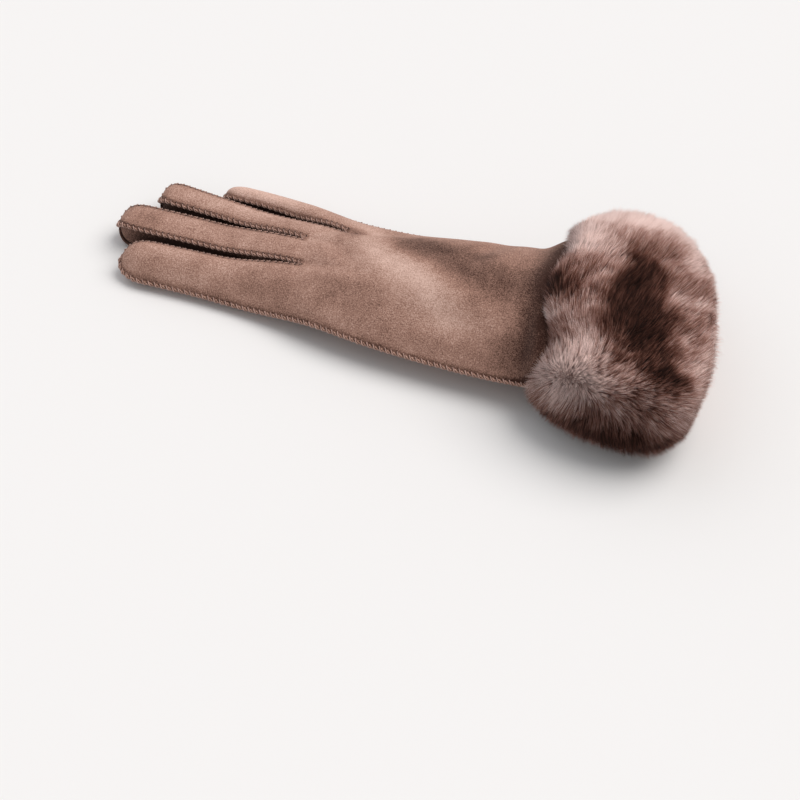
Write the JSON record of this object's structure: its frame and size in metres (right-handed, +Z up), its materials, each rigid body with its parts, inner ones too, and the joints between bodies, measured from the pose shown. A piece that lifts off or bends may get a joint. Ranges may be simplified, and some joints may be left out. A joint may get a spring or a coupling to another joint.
{
  "type": "fur-trimmed suede glove",
  "caption": "Right-hand suede dress glove lying back of the hand up, with whipped outseams, walled fingers, a folded-in thumb and a deep fur cuff open at the wrist.",
  "frame": {"origin": "middle of the footprint, on the surface that the glove lies on", "axes": "+X from the fingertips to the cuff's mouth, +Y from the index finger's edge to the little finger's edge, +Z up, out of the back of the hand"},
  "size_m": [0.3156, 0.133, 0.0599],
  "materials": {
    "suede": "matte taupe-brown suede with a fine mottled nap",
    "fur": "dense soft fur, dark brown with paler taupe patches",
    "pale_fur": "short pale pinkish fur"
  },
  "bodies": {
    "root": {"hand_back": "suede", "hand_palm": "suede", "fourchette_index_middle": "suede", "fourchette_middle_ring": "suede", "fourchette_ring_little": "suede", "thumb": "suede", "fur_cuff": "fur", "mouth_fur_facing": "pale_fur"}
  },
  "joints": []
}
